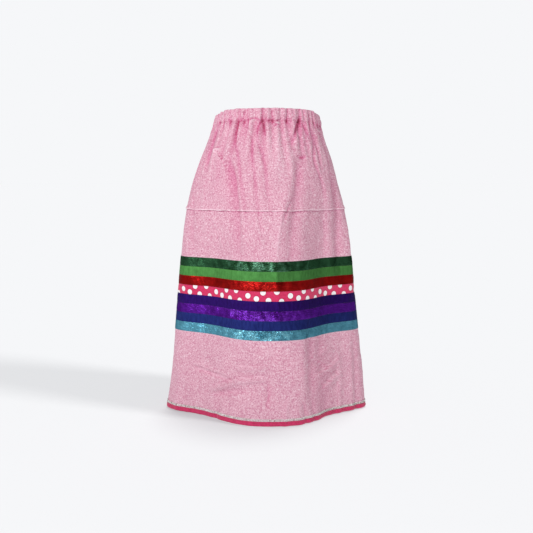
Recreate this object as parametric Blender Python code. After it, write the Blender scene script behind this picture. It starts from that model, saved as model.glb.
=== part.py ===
"""Ribbon skirt, as it fills out when worn: a hollow, gathered A-line tube of cotton, open at both ends.

Metres, +Z up, front towards -Y. The origin is the middle of the waist, level with the elastic casing's
middle. Heights are given as a drop below the casing's top edge.
"""
from collections import namedtuple

import bpy
import numpy as np

# ---- driving sizes -------------------------------------------------------------------------------
LENGTH = 0.717             # top edge of the casing to the bottom of the hem binding
CASING_HEIGHT = 0.028      # the folded tunnel that holds the elastic
WAISTLINE_DROP = 0.014     # the origin: where the elastic sits on the wearer's waist
SIDE_DIP = 0.012           # how far the casing's top edge curves down over the hips at each side
SIDE_DIP_FADE = 0.120      # drop at which the dip is gone
YOKE_SEAM_DROP = 0.229     # the upper panels lap the lower panels here
BAND_DROP = 0.343          # top edge of the first ribbon
RIBBON_WIDTH = 0.0223      # one ribbon and the gap below it
BINDING_HEIGHT = 0.0102    # how far the hem binding comes up the cloth
TRIM_HEIGHT = 0.0065       # the metallic braid above the binding

CLOTH = 0.0010             # wall of a panel
CASING_WALL = 0.0028       # two layers of cloth with the elastic between them
CASING_PROUD = 0.0010      # how far the casing stands out from the panel below it
RIBBON_WALL = 0.0010
BINDING_WALL = 0.0010
GAP = 0.0003               # between pieces that touch

COLUMNS = 48               # facets round the skirt
SIDE = 90.0                # angle of the side seams; 0 is the middle of the front, 180 of the back

# ---- outline: half width, depth to the front and to the back, flank exponent, shift to the side -----
# An exponent of 1 is an ellipse; more of it flattens the flanks between the front and the side seam.
Section = namedtuple("Section", "drop half_width front back exponent shift")
SECTIONS = (
    Section(0.000, 0.1225, 0.097, 0.091, 1.08, 0.0030),
    Section(0.028, 0.1268, 0.098, 0.094, 1.10, 0.0020),
    Section(0.060, 0.1375, 0.106, 0.105, 1.12, 0.0005),
    Section(0.115, 0.1570, 0.118, 0.122, 1.16, -0.0020),
    Section(0.172, 0.1750, 0.127, 0.134, 1.20, -0.0035),
    Section(0.229, 0.1895, 0.135, 0.143, 1.22, -0.0025),
    Section(0.343, 0.2060, 0.142, 0.152, 1.22, -0.0010),
    Section(0.433, 0.2150, 0.148, 0.156, 1.22, -0.0006),
    Section(0.522, 0.2240, 0.153, 0.161, 1.22, 0.0005),
    Section(0.614, 0.2340, 0.158, 0.166, 1.22, 0.0020),
    Section(0.717, 0.2460, 0.163, 0.173, 1.20, -0.0006),
)

# ---- the largest folds: troughs (-) and ridges (+) that run down the cloth ---------------------------
Fold = namedtuple("Fold", "angle half_angle starts full depth")
FOLDS = (
    Fold(-44.0, 42.0, 0.090, 0.340, -0.036),
    Fold(50.0, 38.0, 0.090, 0.340, -0.035),
    Fold(117.0, 27.0, 0.160, 0.480, -0.022),
    Fold(149.0, 28.0, 0.140, 0.480, -0.030),
    Fold(206.0, 32.0, 0.140, 0.500, -0.032),
    Fold(243.0, 26.0, 0.180, 0.540, -0.024),
)

# ---- gathers: the pinches that the elastic draws below the casing -------------------------------------
Gather = namedtuple("Gather", "angle half_angle reach depth")
GATHER_AT_TOP = 0.4        # share of a gather's depth left at the casing's top edge
GATHERS = (
    Gather(-80.0, 13.0, 0.090, 0.0030),
    Gather(-55.0, 11.0, 0.120, 0.0040),
    Gather(-27.0, 10.0, 0.130, 0.0045),
    Gather(-5.0, 9.0, 0.095, 0.0030),
    Gather(16.0, 9.0, 0.060, 0.0020),
    Gather(36.0, 11.0, 0.150, 0.0045),
    Gather(62.0, 12.0, 0.110, 0.0035),
    Gather(86.0, 11.0, 0.070, 0.0030),
    Gather(108.0, 11.0, 0.110, 0.0035),
    Gather(129.0, 10.0, 0.085, 0.0030),
    Gather(149.0, 11.0, 0.140, 0.0045),
    Gather(172.0, 10.0, 0.090, 0.0030),
    Gather(193.0, 11.0, 0.150, 0.0045),
    Gather(215.0, 10.0, 0.080, 0.0030),
    Gather(237.0, 12.0, 0.120, 0.0040),
    Gather(259.0, 11.0, 0.100, 0.0030),
)

# ---- ribbons, from the top down -------------------------------------------------------------------------
Ribbon = namedtuple("Ribbon", "name colour roughness")
RIBBONS = (
    Ribbon("dark_green", (0.030, 0.105, 0.055), 0.35),
    Ribbon("green", (0.060, 0.240, 0.050), 0.75),
    Ribbon("red", (0.260, 0.010, 0.008), 0.35),
    Ribbon("dotted", (0.690, 0.035, 0.140), 0.60),
    Ribbon("indigo", (0.030, 0.010, 0.125), 0.75),
    Ribbon("purple", (0.130, 0.020, 0.360), 0.35),
    Ribbon("blue", (0.020, 0.030, 0.160), 0.75),
    Ribbon("teal", (0.110, 0.320, 0.430), 0.40),
)
PINK = (0.740, 0.380, 0.470)
RASPBERRY = (0.520, 0.030, 0.150)
SILVER = (0.560, 0.550, 0.530)

BINDING_TOP = LENGTH - BINDING_HEIGHT
TRIM_TOP = BINDING_TOP - GAP - TRIM_HEIGHT
PANEL_BOTTOM = LENGTH - BINDING_WALL - GAP
RIBBON_EDGES = [BAND_DROP + i * RIBBON_WIDTH for i in range(len(RIBBONS) + 1)]

CASING_ROWS = (0.0, WAISTLINE_DROP, CASING_HEIGHT)
UPPER_ROWS = (CASING_HEIGHT + GAP, 0.056, 0.090, 0.125, 0.160, 0.195, YOKE_SEAM_DROP)
LOWER_ROWS = (YOKE_SEAM_DROP + GAP, 0.265, 0.305, *RIBBON_EDGES, 0.566, 0.611, 0.656, TRIM_TOP,
              PANEL_BOTTOM)


def smooth(x):
    """0 to 1 with no corner at either end."""
    x = np.clip(x, 0.0, 1.0)
    return x * x * (3.0 - 2.0 * x)


def section(name, drop):
    """A size of the outline at a drop, on a smooth curve through the table's rows."""
    at = np.array([row.drop for row in SECTIONS])
    size = np.array([getattr(row, name) for row in SECTIONS])
    slope = np.gradient(size, at)
    i = int(np.clip(np.searchsorted(at, drop) - 1, 0, len(at) - 2))
    span = at[i + 1] - at[i]
    u = (drop - at[i]) / span
    rise = smooth(u)
    ease_in = u * (1.0 - u) ** 2 * span * slope[i]
    ease_out = u * u * (u - 1.0) * span * slope[i + 1]
    return size[i] + rise * (size[i + 1] - size[i]) + ease_in + ease_out


def bell(angle, centre, half_angle):
    """1 at the centre, smoothly down to 0 at the half angle, measured round the skirt."""
    away = (angle - centre + 180.0) % 360.0 - 180.0
    return np.cos(np.clip(away / half_angle, -1.0, 1.0) * np.pi / 2.0) ** 2


def outline(angle, drop):
    """Points of the plain section at a drop, without folds."""
    t = np.radians(angle)
    depth = np.where(np.cos(t) > 0.0, section("front", drop), section("back", drop))
    flat = np.abs(np.cos(t)) ** section("exponent", drop)
    x = section("half_width", drop) * np.sin(t) + section("shift", drop)
    y = -np.sign(np.cos(t)) * depth * flat
    dip = SIDE_DIP * np.sin(t) ** 8 * (1.0 - smooth(drop / SIDE_DIP_FADE))
    return np.stack([x, y, WAISTLINE_DROP - drop - dip], axis=-1)


def fold_depth(angle, drop):
    """How far the folds and gathers move the cloth out (+) or in (-)."""
    out = np.zeros_like(angle)
    for fold in FOLDS:
        grown = smooth((drop - fold.starts) / (fold.full - fold.starts))
        out += fold.depth * grown * bell(angle, fold.angle, fold.half_angle)
    at_casing = GATHER_AT_TOP + (1.0 - GATHER_AT_TOP) * smooth(drop / CASING_HEIGHT)
    for gather in GATHERS:
        left = 1.0 - smooth((drop - CASING_HEIGHT) / gather.reach)
        out -= gather.depth * at_casing * left * bell(angle, gather.angle, gather.half_angle)
    return out


def across(points_before, points_after):
    """Horizontal unit vectors square to the way the section runs, pointing out."""
    along = points_after - points_before
    out = np.stack([along[:, 1], -along[:, 0], np.zeros(len(along))], axis=-1)
    return out / np.linalg.norm(out, axis=1, keepdims=True)


STEP_ANGLE = 1.5           # either side of a point, to find the way the cloth runs there
STEP_DROP = 0.004


def skin(angle, drop):
    """The cloth's outer face: the outline, moved in or out by the folds."""
    square = across(outline(angle - STEP_ANGLE, drop), outline(angle + STEP_ANGLE, drop))
    return outline(angle, drop) + square * fold_depth(angle, drop)[:, None]


def face_out(angle, drop):
    """Unit vectors square to the cloth's outer face."""
    round_it = skin(angle + STEP_ANGLE, drop) - skin(angle - STEP_ANGLE, drop)
    down = skin(angle, drop + STEP_DROP) - skin(angle, drop - STEP_DROP)
    out = np.cross(down, round_it)
    return out / np.linalg.norm(out, axis=1, keepdims=True)


def column_angles():
    """Angles from one side seam round the front and back, at equal steps along the hem."""
    angles = []
    for start in (-SIDE, SIDE):
        fine = np.linspace(start, start + 180.0, 361)
        steps = np.linalg.norm(np.diff(outline(fine, LENGTH), axis=0), axis=1)
        travelled = np.concatenate([[0.0], np.cumsum(steps)])
        equal = np.linspace(0.0, travelled[-1], COLUMNS // 2 + 1)
        angles.append(np.interp(equal, travelled, fine))
    return angles


FRONT_ANGLES, BACK_ANGLES = column_angles()
ROUND_ANGLES = np.concatenate([FRONT_ANGLES, BACK_ANGLES[1:-1]])


def material(name, colour, roughness, metallic=0.0):
    """A plain Principled material."""
    made = bpy.data.materials.new(name)
    made.use_nodes = True
    shader = made.node_tree.nodes["Principled BSDF"]
    shader.inputs["Base Color"].default_value = (*colour, 1.0)
    shader.inputs["Roughness"].default_value = roughness
    shader.inputs["Metallic"].default_value = metallic
    return made


def moved_out(angles, drop, offset, half):
    """Points of the cloth at a drop, moved out; a half piece stops half a gap short of each side seam."""
    points = skin(angles, drop) + face_out(angles, drop) * offset
    if half:
        inwards = -0.5 * GAP if half == "front" else 0.5 * GAP
        points[0, 1] += inwards
        points[-1, 1] += inwards
    return points


def split_quad(near, far, downwards):
    """Two triangles, cut the same way on every face, so that faces laid on each other stay parallel."""
    if downwards:
        return (near[0], near[1], far[1]), (near[0], far[1], far[0])
    return (near[0], near[1], far[0]), (near[1], far[1], far[0])


def sweep(name, finish, profile, half=None):
    """A closed solid: its profile of (drop, offset) pairs, outer face down and inner up, runs round."""
    angles = {"front": FRONT_ANGLES, "back": BACK_ANGLES, None: ROUND_ANGLES}[half]
    lines = [moved_out(angles, drop, offset, half) for drop, offset in profile]
    points = np.stack(lines)
    rows, columns = points.shape[:2]
    faces = []
    for r in range(rows):
        below = (r + 1) % rows
        for c in range(columns if half is None else columns - 1):
            beside = (c + 1) % columns
            near = (r * columns + c, below * columns + c)
            far = (r * columns + beside, below * columns + beside)
            faces.extend(split_quad(near, far, profile[r][0] <= profile[below][0]))
    if half:
        for c in (0, columns - 1):
            faces.extend(end_cap([r * columns + c for r in range(rows)], c == 0))
    mesh = bpy.data.meshes.new(name)
    mesh.from_pydata(points.reshape(-1, 3).tolist(), [], faces)
    mesh.update()
    mesh.shade_smooth()
    mesh.materials.append(finish)
    piece = bpy.data.objects.new(name, mesh)
    bpy.context.scene.collection.objects.link(piece)
    return piece


def end_cap(ring, first):
    """Faces that close a side end, pairing the outer face's points with the inner face's."""
    half = len(ring) // 2
    caps = []
    for i in range(half - 1):
        outer, outer_next = ring[i], ring[i + 1]
        inner, inner_next = ring[-1 - i], ring[-2 - i]
        cap = (outer, inner, inner_next, outer_next)
        caps.append(cap if first else cap[::-1])
    return caps


def wall(drops, inner, outer):
    """The profile of a plain wall through the drops, from its outer to its inner offset."""
    return [(drop, outer) for drop in drops] + [(drop, inner) for drop in reversed(drops)]


def binding_profile():
    """The hem binding folds round the raw edge: a U with the panel inside it."""
    outside = GAP + BINDING_WALL
    inside = -CLOTH - GAP
    inner_bottom = LENGTH - BINDING_WALL
    return [
        (BINDING_TOP, outside), (LENGTH, outside),
        (LENGTH, inside - BINDING_WALL), (BINDING_TOP, inside - BINDING_WALL),
        (BINDING_TOP, inside), (inner_bottom, inside),
        (inner_bottom, GAP), (BINDING_TOP, GAP),
    ]


def main():
    for thing in list(bpy.data.objects):
        bpy.data.objects.remove(thing, do_unlink=True)

    pink = material("pink_cotton", PINK, 0.85)
    sweep("waist_casing", pink, wall(CASING_ROWS, CASING_PROUD - CASING_WALL, CASING_PROUD))
    for half in ("front", "back"):
        sweep(f"upper_{half}", pink, wall(UPPER_ROWS, -CLOTH, 0.0), half)
        sweep(f"lower_{half}", pink, wall(LOWER_ROWS, -CLOTH, 0.0), half)

    for i, ribbon in enumerate(RIBBONS):
        finish = material(f"ribbon_{ribbon.name}", ribbon.colour, ribbon.roughness)
        edges = (RIBBON_EDGES[i] + 0.5 * GAP, RIBBON_EDGES[i + 1] - 0.5 * GAP)
        for half in ("front", "back"):
            sweep(f"ribbon_{ribbon.name}_{half}", finish, wall(edges, GAP, GAP + RIBBON_WALL), half)

    silver = material("silver_braid", SILVER, 0.35, 0.8)
    sweep("silver_braid", silver, wall((TRIM_TOP, TRIM_TOP + TRIM_HEIGHT), GAP, GAP + RIBBON_WALL))
    sweep("hem_binding", material("hem_binding", RASPBERRY, 0.6), binding_profile())


main()
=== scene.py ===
"""Ribbon skirt: the looks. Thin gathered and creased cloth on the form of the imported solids."""
from collections import namedtuple

import bpy
import numpy as np
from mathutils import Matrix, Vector

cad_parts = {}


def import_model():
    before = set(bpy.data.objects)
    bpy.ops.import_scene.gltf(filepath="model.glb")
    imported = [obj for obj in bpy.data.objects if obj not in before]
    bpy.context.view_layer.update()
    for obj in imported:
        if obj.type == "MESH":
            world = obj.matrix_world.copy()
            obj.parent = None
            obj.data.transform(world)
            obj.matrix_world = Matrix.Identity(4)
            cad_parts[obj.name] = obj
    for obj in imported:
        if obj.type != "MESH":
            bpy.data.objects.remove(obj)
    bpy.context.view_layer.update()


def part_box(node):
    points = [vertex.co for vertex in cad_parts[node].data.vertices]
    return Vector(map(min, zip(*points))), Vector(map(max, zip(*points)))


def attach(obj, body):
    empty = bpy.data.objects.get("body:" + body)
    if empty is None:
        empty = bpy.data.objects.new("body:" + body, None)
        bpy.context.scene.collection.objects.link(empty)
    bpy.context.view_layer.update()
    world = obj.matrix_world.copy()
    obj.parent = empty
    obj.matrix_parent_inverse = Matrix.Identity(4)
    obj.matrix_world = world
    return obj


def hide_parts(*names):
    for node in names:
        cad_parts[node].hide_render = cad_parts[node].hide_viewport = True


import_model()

MM = 0.001

# ---- camera and stage ----
CAMERA_DISTANCE = 1.79      # in front of the skirt's axis
CAMERA_BELOW_TOP = 0.157    # the lens is lower than the waist
CAMERA_PITCH = 6.8          # degrees down
CAMERA_LENS = 50.0
FLOOR_GAP = 0.002           # between the hem and the floor

# ---- heights, all as a drop below the casing's top edge ----
RIBBONS = ("dark_green", "green", "red", "dotted", "indigo", "purple", "blue", "teal")
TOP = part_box("waist_casing")[1][2]


def drop_to_top_of(node):
    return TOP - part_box(node)[1][2]


def drop_to_foot_of(node):
    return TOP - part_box(node)[0][2]


def ribbon_edges(name):
    return drop_to_top_of(f"ribbon_{name}_front"), drop_to_foot_of(f"ribbon_{name}_front")


CASING_FOOT = drop_to_top_of("upper_front")
SEAM = drop_to_top_of("lower_front")
BAND_TOP = ribbon_edges(RIBBONS[0])[0]
BAND_FOOT = ribbon_edges(RIBBONS[-1])[1]
BRAID_TOP = drop_to_top_of("silver_braid")
BINDING_TOP = drop_to_top_of("hem_binding")
HEM = drop_to_foot_of("hem_binding")

# ---- form of the solids: repeated from the part's own tables, in metres and degrees ----
SIDE_DIP = 0.012            # the waist is this much lower at the sides
SIDE_DIP_FADE = 0.120
Section = namedtuple("Section", "drop half_width front back exponent shift")
SECTIONS = (
    Section(0.000, 0.1225, 0.097, 0.091, 1.08, 0.0030),
    Section(0.028, 0.1268, 0.098, 0.094, 1.10, 0.0020),
    Section(0.060, 0.1375, 0.106, 0.105, 1.12, 0.0005),
    Section(0.115, 0.1570, 0.118, 0.122, 1.16, -0.0020),
    Section(0.172, 0.1750, 0.127, 0.134, 1.20, -0.0035),
    Section(0.229, 0.1895, 0.135, 0.143, 1.22, -0.0025),
    Section(0.343, 0.2060, 0.142, 0.152, 1.22, -0.0010),
    Section(0.433, 0.2150, 0.148, 0.156, 1.22, -0.0006),
    Section(0.522, 0.2240, 0.153, 0.161, 1.22, 0.0005),
    Section(0.614, 0.2340, 0.158, 0.166, 1.22, 0.0020),
    Section(0.717, 0.2460, 0.163, 0.173, 1.20, -0.0006),
)
Fold = namedtuple("Fold", "angle half_angle starts full depth")
FOLDS = (
    Fold(-44.0, 42.0, 0.090, 0.340, -0.036),
    Fold(50.0, 38.0, 0.090, 0.340, -0.035),
    Fold(117.0, 27.0, 0.160, 0.480, -0.022),
    Fold(149.0, 28.0, 0.140, 0.480, -0.030),
    Fold(206.0, 32.0, 0.140, 0.500, -0.032),
    Fold(243.0, 26.0, 0.180, 0.540, -0.024),
)

# ---- pinches: where the elastic's stitching draws the cloth in ----
# Width and depth, in mm, are those at the stitch line. A pinch fades over its reach up into the casing and its
# reach down into the panel, and widens and leans as it goes.
Pinch = namedtuple("Pinch", "angle width depth up down lean")
PINCHES = (
    Pinch(-72.0, 5.0, 2.6, 20, 40, 1.0),
    Pinch(-60.0, 5.0, 3.8, 26, 110, -3.0),
    Pinch(-46.0, 3.5, 2.0, 24, 34, 1.0),
    Pinch(-29.5, 4.2, 5.2, 26, 105, -1.0),
    Pinch(-24.5, 3.0, 2.0, 8, 12, 4.0),
    Pinch(-8.0, 3.6, 3.6, 10, 90, 0.5),
    Pinch(0.0, 4.6, 4.4, 9, 8, 2.0),
    Pinch(6.5, 3.0, 2.0, 12, 22, 5.0),
    Pinch(20.5, 3.4, 1.8, 22, 28, -2.0),
    Pinch(35.8, 3.8, 5.4, 24, 80, 3.0),
    Pinch(34.0, 3.4, 2.4, 6, 40, -10.0),
    Pinch(47.0, 3.6, 2.4, 20, 30, 2.0),
    Pinch(57.0, 3.6, 3.2, 18, 46, 3.0),
    Pinch(67.0, 3.6, 3.4, 14, 30, 2.0),
    Pinch(79.0, 4.0, 3.4, 16, 34, 1.0),
    Pinch(94.0, 4.6, 3.6, 22, 80, 2.0),
    Pinch(109.0, 4.0, 2.8, 14, 50, -2.0),
    Pinch(121.0, 4.4, 4.4, 24, 110, 1.0),
    Pinch(138.0, 3.6, 2.6, 12, 40, 2.0),
    Pinch(150.0, 4.4, 4.8, 24, 120, -2.0),
    Pinch(164.0, 3.6, 2.2, 16, 36, 3.0),
    Pinch(177.0, 4.2, 3.6, 20, 90, 0.0),
    Pinch(189.0, 3.4, 2.6, 10, 26, -3.0),
    Pinch(203.0, 4.6, 5.0, 26, 130, 2.0),
    Pinch(218.0, 3.6, 2.4, 14, 44, -1.0),
    Pinch(231.0, 4.2, 4.0, 20, 90, 2.0),
    Pinch(246.0, 4.0, 3.0, 16, 50, -2.0),
    Pinch(259.0, 4.4, 3.2, 22, 70, 1.0),
)
SMALL_PINCHES = 58          # the finer puckers between them

# ---- pits: the tight puckers right at the stitch line, in degrees and mm ----
# A tuft stands out instead, and has a depth below nothing.
Pit = namedtuple("Pit", "angle drop width height depth")
PITS = (
    Pit(-27.8, 27, 3.0, 4.0, 3.6),
    Pit(-5.0, 29, 2.2, 3.4, 2.4),
    Pit(-1.5, 23, 2.8, 2.6, 2.6),
    Pit(1.6, 29, 3.2, 3.4, 3.0),
    Pit(5.4, 27, 2.2, 3.4, 2.2),
    Pit(35.3, 27, 3.0, 4.4, 3.8),
    Pit(20.4, 30, 2.0, 3.4, 1.8),
    Pit(-41.0, 29, 2.0, 3.6, 1.6),
    Pit(-59.0, 27, 2.4, 4.0, 2.4),
    Pit(56.0, 29, 2.4, 3.4, 2.6),
    Pit(75.0, 29, 2.4, 3.4, 2.2),
    Pit(86.0, 29, 5.0, 3.4, 2.4),
    Pit(84.0, 15, 6.0, 6.0, -1.8),
    Pit(68.0, 44, 2.8, 3.8, -3.6),
    Pit(73.0, 37, 2.4, 3.4, 2.0),
    Pit(103.0, 27, 2.4, 3.4, 2.2),
    Pit(120.5, 29, 3.0, 4.0, 3.2),
    Pit(151.0, 29, 3.0, 4.0, 3.4),
    Pit(178.0, 28, 2.6, 3.6, 2.8),
    Pit(203.5, 29, 3.0, 4.0, 3.4),
    Pit(231.0, 29, 2.6, 3.6, 2.8),
    Pit(259.0, 28, 2.4, 3.4, 2.2),
)

# ---- creases: soft lines that run down or across the cloth ----
Crease = namedtuple("Crease", "runs shape points widths depth tint")


def down(depth, first_width, last_width, *points, shape="soft", tint=1.0):
    """A crease down the cloth: sizes in mm, and points of (angle, drop in mm) from the top.

    A ridge has a depth above nothing, a trough below; a roll lifts one side only, and a ramp sinks slowly and
    comes back sharply. The tint is how much of the fold's painted shade and highlight reaches the colour.
    """
    return Crease("down", shape, points, (first_width, last_width), depth, tint)


def across(*sizes_and_points, **looks):
    """The same across the cloth, with rising angles."""
    return down(*sizes_and_points, **looks)._replace(runs="across")


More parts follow.
